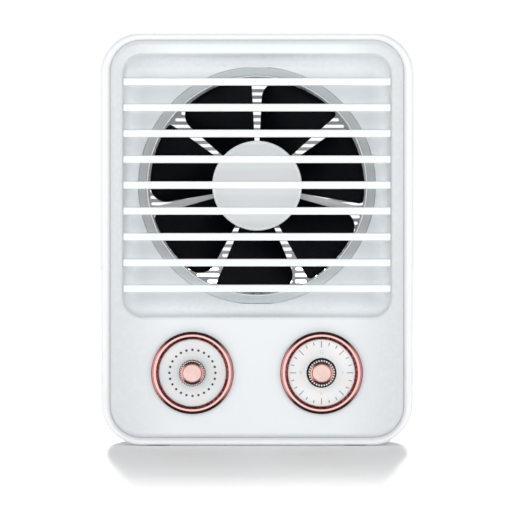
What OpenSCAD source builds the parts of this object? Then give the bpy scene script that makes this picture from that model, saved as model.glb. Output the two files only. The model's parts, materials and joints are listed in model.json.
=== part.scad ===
// Small rechargeable desk fan in a portrait box case.
// Front: louvre bars over a round axial fan, two dial controls below.
// Frame: X to the right, Y towards the back, Z up. The origin is at the
// centre of the base, on the surface the foot pads stand on.
// All sizes are in millimetres.

/* [Case] */
// Outside width of the case
body_w = 114; // [112:0.5:118]
// Height from the standing surface to the top of the case
body_h = 150.5; // [148:0.5:156]
// Depth of the case sleeve, front rim to back rim
body_d = 58; // [58:0.5:64]
// Outside corner radius of the case
corner_r = 15; // [13:0.5:16]
// Wall of the case sleeve at its sides
wall = 3.4; // [3.2:0.1:3.6]
// Wall of the case sleeve at its top and bottom
wall_v = 2.6; // [2.5:0.1:2.9]
// How far the rubber feet stand below the case
foot_h = 0.4; // [0.3:0.1:0.8]

/* [Louvre window] */
// Width of the recessed window
win_w = 97.6; // [96:0.2:98]
// Height of the recessed window
win_h = 95.7; // [94:0.1:96]
// Corner radius of the window
win_r = 7.4; // [7:0.1:8]
// Height of the middle of the window and fan
fan_z = 95; // [94.6:0.1:95.4]
// Height of one louvre bar
bar_h = 2.7; // [2.2:0.1:3.2]
// Depth of one louvre bar
bar_t = 3.3; // [2.8:0.1:3.4]
// Distance between neighbouring louvre bars, centre to centre
bar_pitch = 9.42; // [9:0.02:9.6]

/* [Fan] */
// Radius of the fan blades at the tip
tip_r = 39.6; // [38:0.1:39.7]
// Number of blades
blades = 7; // [5:1:9]
// Angle left open between two blades
blade_gap = 6; // [5:0.5:9]
// Radius of the hub cover
hub_r = 16.5; // [16.3:0.1:17]
// Outer radius of the grey inlet ring
ring_r = 43.5; // [43:0.1:43.6]

/* [Controls] */
// Distance of each dial from the middle of the case
dial_x = 23.5; // [22:0.1:24]
// Height of the dials
dial_z = 26.6; // [26:0.1:28]
// Outer radius of a dial bezel
bezel_r = 15; // [14.8:0.1:15.4]
// Radius of the knurled knob, over its teeth
knob_r = 4.9; // [4.8:0.05:5]
// Number of teeth on the knurled knob
knurls = 30; // [24:1:36]
// Travel of a knob when it is pressed
press = 0.5; // [0.3:0.1:0.5]

/* [Back] */
// Pitch of the horizontal slots in the back
slot_pitch = 2.44; // [2.4:0.02:3]
// Height of one slot in the back
slot_h = 1.2; // [1:0.05:1.3]

/* [Hidden] */
$fn = 72;

// how far the dial caps stand in front of the case rim
proud = 6;
// depths are counted back from the front rim of the case
y_rim = -(body_d + proud) / 2 + proud;
function Y(d) = y_rim + d;

case_zc = (body_h + foot_h) / 2;      // middle height of the sleeve
case_hh = body_h - foot_h;            // height of the sleeve
gap = 0.15;                           // joint line between panels and sleeve
in_w = body_w - 2 * wall;             // opening inside the sleeve
in_h = case_hh - 2 * wall_v;
in_r = corner_r - wall;
in_z = foot_h + wall_v;               // inner bottom face of the sleeve
pan_w = in_w - 2 * gap;               // front and back panel width
pan_h = in_h - 2 * gap;
pan_r = in_r - gap;
face_d = 0.6;                         // panel face behind the rim
panel_t = 2.4;
panel_b = face_d + panel_t;           // back of the front panel, 3.0
floor_d = 11;                         // front of the window's floor
floor_t = 1.6;
floor_b = floor_d + floor_t;          // 12.6
hole_r = ring_r + 0.1;                // round hole in the window's floor
duct_r = 40.1;                        // inside of the fan duct
back_d = body_d - 2.8;                // inside face of the back cover, 55.2
back_t = 2.2;
bar_d = 1.3;                          // front of the louvre bars
// positions of the case screws and fan lugs: [x, z]
upper = [[-41, fan_z + 41], [41, fan_z + 41]];
lower = [[-46, 10.5], [46, 10.5]];
lugs = [[-35, fan_z - 35], [35, fan_z - 35], [-35, fan_z + 35], [35, fan_z + 35]];
board_pts = [[-38.5, 12.5], [38.5, 12.5], [-38.5, 38.5], [38.5, 38.5]];
strut_a = [64.3, 115.7, 192.9, 270, 347.1];

// ---------- shape helpers ----------
function arc(cx, cy, r, a0, a1, n) =
  [for (i = [0:n]) [cx + r * cos(a0 + (a1 - a0) * i / n), cy + r * sin(a0 + (a1 - a0) * i / n)]];

// rounded rectangle, flat
module rr2d(w, h, r) {
  square([w - 2 * r, h], center = true);
  square([w, h - 2 * r], center = true);
  for (x = [-1, 1], y = [-1, 1]) translate([x * (w / 2 - r), y * (h / 2 - r)]) circle(r);
}
// flat shape in X and Z, from depth a to depth b
module ext(a, b) { translate([0, Y(b), 0]) rotate([90, 0, 0]) linear_extrude(b - a) children(); }
// round bar along the depth
module rod(x, z, a, b, r) { translate([x, Y(a), z]) rotate([-90, 0, 0]) cylinder(h = b - a, r = r); }
// turned part, profile points are [radius, depth]
module turned(x, z, pts) {
  translate([x, 0, z]) rotate([-90, 0, 0]) rotate_extrude() polygon([for (p = pts) [p[0], Y(p[1])]]);
}
// profile swept round a rounded rectangle, points are [outwards, depth]
module rr_sweep(w, h, r, zc, pts) {
  P = [for (p = pts) [p[0], Y(p[1])]];
  for (k = [0:3]) {
    off = k % 2 == 0 ? w / 2 : h / 2;
    len = k % 2 == 0 ? h - 2 * r : w - 2 * r;
    translate([0, 0, zc]) rotate([0, -90 * k, 0]) translate([off, 0, -len / 2]) linear_extrude(len) polygon(P);
  }
  for (c = [[1, 1, -90], [-1, 1, 180], [-1, -1, 90], [1, -1, 0]])
    translate([c[0] * (w / 2 - r), 0, zc + c[1] * (h / 2 - r)]) rotate([-90, 0, 0]) rotate([0, 0, c[2]])
      rotate_extrude(angle = 90) polygon([for (p = pts) [r + p[0], Y(p[1])]]);
}
// wire through points given as [x, depth, z]
module wire(pts, r) {
  for (i = [0:len(pts) - 2]) {
    a = [pts[i][0], Y(pts[i][1]), pts[i][2]];
    b = [pts[i + 1][0], Y(pts[i + 1][1]), pts[i + 1][2]];
    v = b - a;
    L = norm(v);
    translate(a) rotate([0, acos(v[2] / L), atan2(v[1], v[0])]) cylinder(h = L, r = r, $fn = 24);
    if (i > 0) translate(a) sphere(r * 1.08, $fn = 24);
  }
}

// ---------- case ----------
module outer_shell() color([0.97, 0.98, 0.99]) difference() {
  union() {
    // rolled front edge and rounded back edge
    rr_sweep(body_w, case_hh, corner_r, case_zc, concat(
      arc(-1.5, 1.5, 1.5, 0, -90, 6), [[-2, 0], [-2, body_d]], arc(-1.2, body_d - 1.2, 1.2, 90, 0, 5)));
    ext(0, body_d) translate([0, case_zc]) difference() {
      rr2d(body_w - 3.4, case_hh - 3.4, corner_r - 1.7);
      rr2d(in_w, in_h, in_r);
    }
    // ledges that the front panel and the back cover sit on
    rr_sweep(in_w, in_h, in_r, case_zc, [[0.05, panel_b + 0.1], [0.05, panel_b + 2.6], [-1.2, panel_b + 1.9], [-1.2, panel_b + 0.1]]);
    rr_sweep(in_w, in_h, in_r, case_zc, [[0.05, back_d - 2.6], [0.05, back_d - 0.1], [-1.2, back_d - 0.1], [-1.2, back_d - 1.9]]);
  }
  // chamfer down to the front panel
  rr_sweep(in_w, in_h, in_r, case_zc, [[-0.2, -0.2], [1.05, -0.2], [1.05, 0], [0.1, 0.8], [0, 1.0], [-0.2, 1.0]]);
  for (x = [-36, 36], d = [9, 49]) translate([x, Y(d), foot_h - 0.01]) cylinder(h = 0.61, r = 4.55);
}

module front_panel() color([0.93, 0.95, 0.96]) difference() {
  union() {
    difference() {
      ext(face_d, panel_b) translate([0, case_zc]) rr2d(pan_w - 3.2, pan_h - 3.2, pan_r - 1.6);
      ext(face_d - 1, panel_b + 1) translate([0, fan_z]) rr2d(win_w + 2.4, win_h + 2.4, win_r + 1.2);
    }
    rr_sweep(pan_w, pan_h, pan_r, case_zc, [[-1.7, panel_b], [0, panel_b], [0, face_d + 0.95], [-0.1, face_d + 0.8], [-1.5, face_d], [-1.7, face_d]]);
    rr_sweep(win_w, win_h, win_r, fan_z, concat([[1.3, face_d]], arc(1.2, face_d + 1.2, 1.2, -90, -180, 6), [[0, panel_b], [1.3, panel_b]]));
    for (p = lower) rod(p[0], p[1], panel_b - 0.5, 30, 3.1);
    for (p = board_pts) rod(p[0], p[1], panel_b - 0.5, 9.5, 2.6);
  }
  for (x = [-dial_x, dial_x]) {
    rod(x, dial_z, face_d - 1, face_d + 1, 14);
    rod(x, dial_z, 0, 4, 3.6);
  }
  for (p = lower) rod(p[0], p[1], 20, 31, 1.25);
  for (p = board_pts) rod(p[0], p[1], 3.6, 10, 0.9);
}

// one moulded ladder: nine bars, and two side rails hidden behind the panel
module louvre_grille() color([0.99, 1, 1]) {
  for (i = [-4:4]) translate([0, Y(bar_d + bar_t / 2), fan_z + i * bar_pitch]) rotate([90, 0, 90])
    translate([0, 0, -win_w / 2 - 0.3]) linear_extrude(win_w + 0.6) intersection() {
      union() { square([bar_t - 1, bar_h], center = true); square([bar_t, bar_h - 1], center = true);
        for (x = [-1, 1], y = [-1, 1]) translate([x * (bar_t / 2 - 0.5), y * (bar_h / 2 - 0.5)]) circle(0.5); }
      square([bar_t, bar_h], center = true);
    }
}
module louvre_rails() color([0.99, 1, 1])
  for (x = [-1, 1]) translate([x * (win_w / 2 + 0.75) - 0.55, Y(3.1), fan_z - 40]) cube([1.1, 1.5, 80]);
module louvre() { difference() { louvre_grille(); // bar ends step back behind the panel
    for (x = [-1, 1]) translate([x > 0 ? win_w / 2 - 0.05 : -win_w / 2 - 2.95, Y(0), fan_z - 50]) cube([3, 3.1, 100]); }
  louvre_rails(); }

// walls of the window, with a wide fillet down to the plate behind
module recess_walls() color([0.88, 0.9, 0.91]) difference() {
  rr_sweep(win_w, win_h, win_r, fan_z, concat(
    [[0, panel_b + 0.05], [0, 4.8]], arc(-4.55, 6.8, 4.2, 0, 90, 8),
    [[-4.75, floor_d], [-4.75, floor_b], [-1.2, floor_b], [1.2, 10], [1.6, panel_b + 1.6], [2.5, panel_b + 1.6], [2.5, panel_b + 0.05]]));
  // seats for the rails of the louvre
  for (x = [-1, 1]) translate([x * (win_w / 2 + 0.75) - (x > 0 ? 0.85 : 0.95), Y(panel_b), fan_z - 40.2]) cube([1.8, 1.75, 80.4]);
  rod(0, fan_z, floor_d - 1.5, floor_b + 1, hole_r);
}
// plate inside the walls, with a wider flange behind them, the fan bosses and the upper case bosses
module fan_plate() color([0.88, 0.9, 0.91]) difference() {
  union() {
    ext(floor_d, floor_b + 0.5) translate([0, fan_z]) rr2d(win_w - 9.54, win_h - 9.54, win_r - 4.77);
    ext(floor_b, floor_b + 1) translate([0, fan_z]) rr2d(win_w - 2.6, win_h - 2.6, win_r - 1.3);
    for (p = upper) rod(p[0], p[1], floor_b + 0.4, 30, 3.1);
    for (p = lugs) rod(p[0], p[1], floor_b + 0.4, 16.6, 2.9);
  }
  rod(0, fan_z, floor_d - 1.2, floor_b + 1, hole_r);
  rod(0, fan_z, floor_b, floor_b + 2, 45.1);
  for (p = upper) rod(p[0], p[1], 20, 31, 1.25);
  for (p = lugs) rod(p[0], p[1], 12.2, 17, 1);
}

module inlet_ring() color([0.66, 0.69, 0.7])
  turned(0, fan_z, [[ring_r, 11.05], [ring_r, floor_b + 0.05], [45, floor_b + 0.05], [45, 13.6], [40.5, 13.6], [40.5, 12.2], [43.1, 11.05]]);

module rear_cover() color([0.95, 0.96, 0.97]) difference() {
  union() {
    difference() {
      ext(back_d, back_d + back_t) translate([0, case_zc]) rr2d(pan_w, pan_h, pan_r);
      ext(back_d - 1, back_d + back_t + 1) intersection() {
        translate([0, fan_z]) circle(40.5);
        for (i = [-15:16], c = [[-41, -14.4], [-13.2, 13.2], [14.4, 41]])
          translate([c[0], fan_z + (i - 0.5) * slot_pitch - slot_h / 2]) square([c[1] - c[0], slot_h]);
      }
    }
    for (p = concat(upper, lower)) rod(p[0], p[1], 30.2, back_d + 1, 3.6);
    // two pegs that hold the charge board level
    for (x = [-19, 19]) translate([x - 1.5, Y(48), 28.3]) cube([3, 7.7, 2]);
  }
  for (p = concat(upper, lower)) {
    rod(p[0], p[1], 29, 40, 1.6);
    rod(p[0], p[1], 33, body_d, 2.9);
  }
  // window for the charging socket
  ext(back_d - 1, back_d + back_t + 1) translate([0, 33.65]) { square([5.8, 3.8], center = true);
    for (x = [-2.9, 2.9]) translate([x, 0]) circle(1.9); }
}

module screw(x, z, d, hr, hh, sr, L) {
  difference() {
    turned(x, z, [[0, d], [hr - 0.3, d], [hr, d - 0.3], [hr, d - hh], [sr, d - hh], [sr, d - hh - L + 0.8], [0.3, d - hh - L], [0, d - hh - L]]);
    for (a = [0, 90]) translate([x, Y(d), z]) rotate([0, a, 0]) cube([hr * 1.1, hh * 1.1, hr * 0.28], center = true);
  }
}
module case_screws() color([0.55, 0.55, 0.57]) for (p = concat(upper, lower)) screw(p[0], p[1], 35, 2.7, 1.9, 1.22, 11);
module fan_screws() color([0.55, 0.55, 0.57]) for (p = lugs) screw(p[0], p[1], 20.4, 2.2, 1.5, 0.97, 5.6);
module board_screws() color([0.55, 0.55, 0.57]) for (p = board_pts) screw(p[0], p[1], 12.5, 1.9, 1.3, 0.87, 6);

module foot_pads() color([0.25, 0.25, 0.26]) for (x = [-36, 36], d = [9, 49])
  translate([x, Y(d), 0]) rotate_extrude() polygon([[0, 0], [4.1, 0], [4.5, 0.3], [4.5, foot_h + 0.58], [0, foot_h + 0.58]]);

// ---------- fan ----------
module fan_duct() color([0.93, 0.94, 0.95]) difference() {
  union() {
    turned(0, fan_z, [[duct_r, 13.65], [duct_r + 1.9, 13.65], [duct_r + 1.9, 35.4], [duct_r, 35.4]]);
    ext(16.7, 18.8) translate([0, fan_z]) difference() {
      for (a = [45:90:315]) rotate(a) { translate([duct_r + 0.5, -3.6]) square([49.5 - duct_r - 0.5, 7.2]); translate([49.5, 0]) circle(3.6); }
      circle(duct_r + 0.5);
    }
  }
  for (p = lugs) rod(p[0], p[1], 16, 20, 1.3);
  // notches that take the ends of the motor mount's arms
  ext(32.3, 36) translate([0, fan_z]) for (a = strut_a) rotate(a) translate([duct_r - 1, -1.4]) square([2.2, 2.8]);
}
// round base on five arms, seated in the back of the duct
module motor_mount() color([0.93, 0.94, 0.95]) {
  turned(0, fan_z, [[4.25, 33.4], [15.5, 33.4], [15.5, 35.4], [4.25, 35.4]]);
  ext(32.4, 35.4) translate([0, fan_z]) for (a = strut_a) rotate(a) translate([15, -1.3]) square([duct_r + 1.1 - 15, 2.6]);
}

// outer limit of a blade at angle t, between angles a and b; corner radii ca and cb
function rim_at(t, a, b, ca, cb) =
  let (oa = asin(ca / (tip_r - ca)), ob = asin(cb / (tip_r - cb)))
  t < a + oa ? let (q = t - a - oa) (tip_r - ca) * cos(q) + sqrt(max(0, ca * ca - pow((tip_r - ca) * sin(q), 2))) :
  t > b - ob ? let (q = t - b + ob) (tip_r - cb) * cos(q) + sqrt(max(0, cb * cb - pow((tip_r - cb) * sin(q), 2))) : tip_r;
// depth of the middle of the blade at share s of its sweep, with a slight camber
function blade_d(s) = 16.9 + 12.4 * s + 1.1 * sin(180 * s);

module blade(a) {
  span = 360 / blades - blade_gap;
  S = [0, 0.035, 0.2, 0.4, 0.6, 0.78, 0.86, 0.93, 0.975, 1];
  T = [0, 0.35, 0.7, 1];
  th = 0.8;
  n = len(S);
  m = len(T);
  function pt(i, j, side) =
    let (t = a + span * S[i], R = rim_at(t, a, a + span, 1.6, 6), r = 15.6 + (R - 15.6) * T[j],
         h = th * (S[i] == 0 || S[i] == 1 ? 0.45 : 1) * (1 - 0.35 * T[j]))
    [r * cos(t), Y(blade_d(S[i]) + side * h), fan_z + r * sin(t)];
  P = concat([for (i = [0:n - 1], j = [0:m - 1]) pt(i, j, -1)], [for (i = [0:n - 1], j = [0:m - 1]) pt(i, j, 1)]);
  N = n * m;
  function q(i, j) = i * m + j;
  polyhedron(P, concat(
    [for (i = [0:n - 2], j = [0:m - 2]) each [[q(i, j), q(i + 1, j), q(i + 1, j + 1)], [q(i, j), q(i + 1, j + 1), q(i, j + 1)]]],
    [for (i = [0:n - 2], j = [0:m - 2]) each [[N + q(i, j), N + q(i + 1, j + 1), N + q(i + 1, j)], [N + q(i, j), N + q(i, j + 1), N + q(i + 1, j + 1)]]],
    [for (i = [0:n - 2]) each [[q(i, 0), N + q(i, 0), N + q(i + 1, 0)], [q(i, 0), N + q(i + 1, 0), q(i + 1, 0)]]],
    [for (i = [0:n - 2]) each [[q(i, m - 1), N + q(i + 1, m - 1), N + q(i, m - 1)], [q(i, m - 1), q(i + 1, m - 1), N + q(i + 1, m - 1)]]],
    [for (j = [0:m - 2]) each [[q(0, j), N + q(0, j + 1), N + q(0, j)], [q(0, j), q(0, j + 1), N + q(0, j + 1)]]],
    [for (j = [0:m - 2]) each [[q(n - 1, j), N + q(n - 1, j), N + q(n - 1, j + 1)], [q(n - 1, j), N + q(n - 1, j + 1), q(n - 1, j + 1)]]]));
}
module impeller() color([0.03, 0.03, 0.035]) {
  turned(0, fan_z, [[1.02, 15.05], [hub_r - 0.3, 15.05], [hub_r - 0.1, 15.25], [hub_r - 0.1, 31], [hub_r - 1.5, 31], [hub_r - 1.5, 16.5], [3.5, 16.5], [3.5, 19], [1.02, 19]]);
  for (k = [0:blades - 1]) blade(90 + blade_gap / 2 + k * 360 / blades);
}
module hub_cap() color([0.93, 0.95, 0.96])
  turned(0, fan_z, concat([[0, 15], [0, 13.7], [8, 13.8]], arc(hub_r - 0.7, 14.6, 0.7, -90, 0, 5), [[hub_r, 15]]));
module motor_shaft() color("silver") turned(0, fan_z, [[0, 15.2], [0.8, 15.2], [1, 15.4], [1, 36], [0.8, 36.2], [0, 36.2]]);
module rotor_yoke() color([0.6, 0.62, 0.64]) turned(0, fan_z, [[14.1, 17], [14.95, 17], [14.95, 30.6], [14.1, 30.6]]);
module rotor_magnet() color([0.2, 0.2, 0.22]) turned(0, fan_z, [[12.6, 18.5], [14.05, 18.5], [14.05, 30], [12.6, 30]]);
module stator_core() color([0.45, 0.46, 0.48]) ext(21, 27) translate([0, fan_z]) difference() {
  union() {
    circle(6.5);
    for (a = [45:90:315]) rotate(a) { translate([5, -1.5]) square([6.5, 3]);
      intersection() { difference() { circle(12.1); circle(10.7); } polygon([[0, 0], [20, -13], [20, 13]]); } }
  }
  circle(4.25);
}
module stator_coils() color([0.72, 0.4, 0.18]) for (a = [45:90:315])
  translate([0, Y(24), fan_z]) rotate([0, -a, 0]) difference() {
    union() { translate([8.2, 0, 0]) cube([2.6, 9.2, 6], center = true); translate([8.2, 0, 0]) cube([2.6, 7.2, 8], center = true);
      for (y = [-3.6, 3.6], z = [-3, 3]) translate([6.9, y, z]) rotate([0, 90, 0]) cylinder(h = 2.6, r = 1); }
    translate([8.2, 0, 0]) cube([5, 6.06, 3.06], center = true);
  }
module motor_board() color([0.1, 0.35, 0.2]) turned(0, fan_z, [[4.3, 32.35], [14.5, 32.35], [14.5, 33.38], [4.3, 33.38]]);
module bearing_tube() color([0.8, 0.66, 0.35]) turned(0, fan_z, [[3.04, 19.6], [4.2, 19.6], [4.2, 35.4], [3.04, 35.4]]);
module bearing(d) turned(0, fan_z, [[1.04, d + 0.15], [1.2, d], [2.85, d], [3, d + 0.15], [3, d + 2.35], [2.85, d + 2.5], [1.2, d + 2.5], [1.04, d + 2.35]]);
module front_bearing() color([0.7, 0.71, 0.73]) bearing(19.9);
module rear_bearing() color([0.7, 0.71, 0.73]) bearing(32.6);
module shaft_clip() color([0.5, 0.5, 0.52]) turned(0, fan_z, [[1.01, 35.3], [2.2, 35.3], [2.2, 35.7], [1.01, 35.7]]);

// ---------- controls ----------
rose = [0.93, 0.7, 0.64];
module bezel(x) color(rose) turned(x, dial_z,
  [[12.1, 0.2], [12.1, 1.58], [13.95, 1.58], [13.95, face_d - 0.02], [bezel_r, face_d - 0.02], [bezel_r, -0.5],
   [bezel_r - 0.15, -0.76], [bezel_r - 0.9, -1.3], [bezel_r - 1.1, -1.4], [13.1, -1.4], [12.9, -1.2], [12.8, -0.4], [12.45, -0.3]]);
module dial(x) difference() {
  rod(x, dial_z, 0.8, 1.58, 12.05);
  rod(x, dial_z, 0, 3, 3.6);
}
module speed_bezel() bezel(-dial_x);
module timer_bezel() bezel(dial_x);
module speed_dial() color([0.9, 0.91, 0.92]) difference() {
  dial(-dial_x);
  for (k = [0:23]) rod(-dial_x + 8.4 * cos(k * 15), dial_z + 8.4 * sin(k * 15), 0.5, 0.95, 0.45);
}
module timer_dial() color([0.93, 0.94, 0.94]) difference() {
  dial(dial_x);
  for (k = [0:23]) translate([dial_x, Y(0.5), dial_z]) rotate([0, -k * 15, 0])
    translate([k % 3 == 0 ? 9.2 : 10.2, 0, -0.15]) cube([k % 3 == 0 ? 2.3 : 1.2, 0.42, 0.3]);
}
module timer_collar() color([0.05, 0.05, 0.05]) turned(dial_x, dial_z, [[3.65, 0.79], [5.45, 0.79], [5.45, 0.6], [5.3, 0.5], [3.65, 0.5]]);
module encoder(x) color([0.3, 0.31, 0.33]) difference() {
  union() {
    translate([x - 5.9, Y(panel_b + 0.05), dial_z - 5.9]) cube([11.8, 6.42, 11.8]);
    rod(x, dial_z, -0.6, panel_b + 1, 3.5);
    for (s = [-1, 1]) translate([x + s * 6.2 - 0.3, Y(4), dial_z - 1.2]) cube([0.6, 5.45, 2.4]);
  }
  rod(x, dial_z, -2, 9, 3.05);
}
module plunger(x) color([0.9, 0.85, 0.3]) turned(x, dial_z, [[0, 7], [2.6, 7], [2.6, 7.6], [1.2, 7.6], [1.2, 8.3], [0, 8.3]]);
module shaft(x) color("silver") turned(x, dial_z, [[0, -4.3], [2.7, -4.3], [3, -4], [3, 6.9], [0, 6.9]]);
module knob(x) color([0.82, 0.8, 0.79]) difference() {
  ext(-4.3, -0.3) translate([x, dial_z]) difference() {
    circle(knob_r);
    for (k = [0:knurls - 1]) rotate(k * 360 / knurls) translate([knob_r + 0.12, 0]) circle(0.34);
  }
  rod(x, dial_z, -1.5, 0, 3.8);
  rod(x, dial_z, -5, 0, 3.02);
}
module knob_ring(x) color(rose) turned(x, dial_z, [[3.42, -4.32], [4.14, -4.32], [4.17, -4.38], [4.12, -4.5], [3.52, -4.92], [3.42, -4.92]]);
module cap(x) color(rose) turned(x, dial_z, concat([[0, -4.32], [3.35, -4.32]], arc(2.95, -5.6, 0.4, 0, -90, 5), [[0, -6]]));
module speed_encoder() encoder(-dial_x);
module timer_encoder() encoder(dial_x);
module speed_plunger() plunger(-dial_x);
module timer_plunger() plunger(dial_x);
module speed_shaft() shaft(-dial_x);
module timer_shaft() shaft(dial_x);
module speed_knob() knob(-dial_x);
module timer_knob() knob(dial_x);
module speed_knob_ring() knob_ring(-dial_x);
module timer_knob_ring() knob_ring(dial_x);
module speed_cap() cap(-dial_x);
module timer_cap() cap(dial_x);

// ---------- electronics ----------
module control_board() color([0.1, 0.4, 0.25]) difference() {
  ext(9.52, 11.12) translate([0, 25.6]) rr2d(84, 33, 2);
  for (p = board_pts) rod(p[0], p[1], 9, 12, 1.1);
}
module plug_box(x, z, w) { difference() { translate([x - w / 2, Y(11.15), z - 2.9]) cube([w, 6, 5.8]);
  translate([x - w / 2 + 0.8, Y(13), z - 2.1]) cube([w - 1.6, 5, 4.2]); } }
module motor_connector() color([0.95, 0.94, 0.9]) plug_box(0, 36, 7.4);
module battery_connector() color([0.95, 0.94, 0.9]) plug_box(-18, 36, 7.4);
module driver_chip() color([0.08, 0.08, 0.09]) {
  translate([14, Y(11.15), 30]) cube([7, 1.5, 7]);
  translate([-6, Y(11.15), 16]) cube([4.9, 1.4, 3.9]);
  translate([26, Y(11.15), 18]) cube([5, 2.6, 5]);
}
bat_d = 36;
bat_z = 14.7;
base_z = in_z + 0.05;
module battery_cell() color([0.15, 0.4, 0.6]) translate([-32.5, Y(bat_d), bat_z]) rotate([0, 90, 0]) rotate_extrude()
  polygon([[0, 0], [8.8, 0], [9.2, 0.4], [9.2, 63.6], [8.8, 64], [3, 64], [3, 65], [0, 65]]);
module battery_cradle() color([0.75, 0.76, 0.77]) difference() {
  union() {
    translate([-36, Y(bat_d - 11), base_z]) cube([72, 22, 12.55 - base_z]);
    for (x = [-36, 33.2]) translate([x, Y(bat_d - 11), base_z]) cube([2.8, 22, 19.55 - base_z]);
    // posts for the charge board
    for (x = [-11, 11]) translate([x, Y(44.5), base_z]) cylinder(h = 30.35 - base_z, r = 2.4);
  }
  translate([-33.1, Y(bat_d), bat_z]) rotate([0, 90, 0]) cylinder(h = 66.2, r = 9.3);
  for (x = [-11, 11]) translate([x, Y(44.5), 22]) cylinder(h = 9, r = 0.9);
}
module charge_board() color([0.1, 0.4, 0.25]) difference() {
  translate([-22, Y(40), 30.4]) cube([44, 14.8, 1.6]);
  for (x = [-11, 11]) translate([x, Y(44.5), 30]) cylinder(h = 3, r = 1.1);
}
module charge_board_screws() color([0.55, 0.55, 0.57]) for (x = [-11, 11]) translate([x, Y(44.5), 0]) difference() {
  rotate_extrude() polygon([[0, 25], [0.5, 25], [0.87, 25.6], [0.87, 32.03], [1.9, 32.03], [1.9, 33.1], [1.6, 33.4], [0, 33.4]]);
  for (a = [0, 90]) rotate(a) translate([0, 0, 33.3]) cube([2.2, 0.5, 1.2], center = true);
}
module usb_socket() color([0.78, 0.79, 0.8]) {
  difference() {
    ext(49.6, 57) translate([0, 33.65]) { square([5.7, 3.2], center = true); for (x = [-2.85, 2.85]) translate([x, 0]) circle(1.6); }
    ext(50.4, 58) translate([0, 33.65]) { square([5.7, 2.6], center = true); for (x = [-2.85, 2.85]) translate([x, 0]) circle(1.3); }
  }
  ext(50.2, 56.2) translate([0, 33.65]) square([6.6, 0.7], center = true);
}

// ---------- wiring ----------
module motor_lead() color([0.8, 0.15, 0.12]) for (s = [-1, 1])
  wire([[s * 0.9, 36.5, fan_z - 9], [s * 0.9, 36.5, fan_z - 46], [s * 0.9, 30, 43], [s * 1.2, 20, 36.4], [s * 1.2, 13.2, 36]], 0.65);
module battery_lead() color([0.15, 0.15, 0.16]) for (s = [0, 1])
  wire([for (p = [[-35.2, 30, 19.7], [-34, 29, 25], [-31, 26, 31], [-19, 20, 35.6], [-19, 13.2, 35.6]]) [p[0] + s * 1.5, p[1] + s * 1.3, p[2] + s * 0.6]], 0.65);
module charge_lead() color([0.7, 0.7, 0.2]) for (s = [0, 1])
  wire([[12 + s * 2, 41.5, 32.8], [12 + s * 2, 36, 35], [13 + s * 2, 20, 40.6], [13 + s * 2, 11.2, 40.2]], 0.65);

outer_shell();
front_panel();
louvre();  // louvre_grille
recess_walls();
fan_plate();
inlet_ring();
fan_duct();
motor_mount();
fan_screws();
impeller();
hub_cap();
motor_shaft();
rotor_yoke();
rotor_magnet();
stator_core();
stator_coils();
motor_board();
bearing_tube();
front_bearing();
rear_bearing();
shaft_clip();
speed_bezel();
speed_dial();
speed_encoder();
speed_plunger();
speed_shaft();
speed_knob();
speed_knob_ring();
speed_cap();
timer_bezel();
timer_dial();
timer_collar();
timer_encoder();
timer_plunger();
timer_shaft();
timer_knob();
timer_knob_ring();
timer_cap();
control_board();
board_screws();
motor_connector();
battery_connector();
driver_chip();
battery_cell();
battery_cradle();
charge_board();
charge_board_screws();
usb_socket();
rear_cover();
case_screws();
foot_pads();
motor_lead();
battery_lead();
charge_lead();
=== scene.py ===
import json
import math

import bmesh
import bpy
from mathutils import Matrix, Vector

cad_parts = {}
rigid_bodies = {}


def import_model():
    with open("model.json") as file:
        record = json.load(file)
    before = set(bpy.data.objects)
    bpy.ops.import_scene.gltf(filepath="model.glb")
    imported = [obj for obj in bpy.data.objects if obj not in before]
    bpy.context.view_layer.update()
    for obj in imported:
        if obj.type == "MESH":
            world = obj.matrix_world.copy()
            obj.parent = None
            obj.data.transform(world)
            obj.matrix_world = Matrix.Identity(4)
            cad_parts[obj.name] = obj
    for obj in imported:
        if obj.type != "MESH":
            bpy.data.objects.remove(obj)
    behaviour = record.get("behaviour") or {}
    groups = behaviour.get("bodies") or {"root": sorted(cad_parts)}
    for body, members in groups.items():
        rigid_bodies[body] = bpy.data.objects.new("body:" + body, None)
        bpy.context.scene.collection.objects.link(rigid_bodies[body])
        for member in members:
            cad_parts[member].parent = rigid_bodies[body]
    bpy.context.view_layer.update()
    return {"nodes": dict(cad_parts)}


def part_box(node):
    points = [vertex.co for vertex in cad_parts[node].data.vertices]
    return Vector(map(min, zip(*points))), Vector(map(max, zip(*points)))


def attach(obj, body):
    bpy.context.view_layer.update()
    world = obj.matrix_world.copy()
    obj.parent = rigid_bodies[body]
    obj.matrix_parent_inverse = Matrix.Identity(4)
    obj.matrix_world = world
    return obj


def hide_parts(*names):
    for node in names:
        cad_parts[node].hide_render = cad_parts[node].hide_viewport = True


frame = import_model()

MM = 0.001
scene = bpy.context.scene
nodes_of = frame["nodes"]
lo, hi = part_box("outer_shell")
Y0 = lo.y                                   # front plane of the case rim
BODY_W = (hi.x - lo.x) / MM
BASE = lo.z / MM                            # underside of the sleeve, above the feet
BODY_H = (hi.z - lo.z) / MM
BODY_D = (hi.y - lo.y) / MM
CZ = BASE + BODY_H / 2
CORNER = 15.0
WALL = 3.4
lo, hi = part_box("hub_cap")
FZ = (lo.z + hi.z) / 2 / MM                 # height of the fan's axis
HUB_R = (hi.x - lo.x) / 2 / MM
HUB_D = (lo.y - Y0) / MM
lo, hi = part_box("speed_bezel")
DX = -(lo.x + hi.x) / 2 / MM                # dials left and right of the middle
DZ = (lo.z + hi.z) / 2 / MM
BEZEL_R = (hi.x - lo.x) / 2 / MM
lo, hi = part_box("front_panel")
PAN_W = (hi.x - lo.x) / MM
PAN_H = (hi.z - lo.z) / MM
PAN_R = CORNER - WALL - 0.15
IN_W, IN_H, IN_R = PAN_W + 0.3, PAN_H + 0.3, PAN_R + 0.15     # opening inside the sleeve
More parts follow.
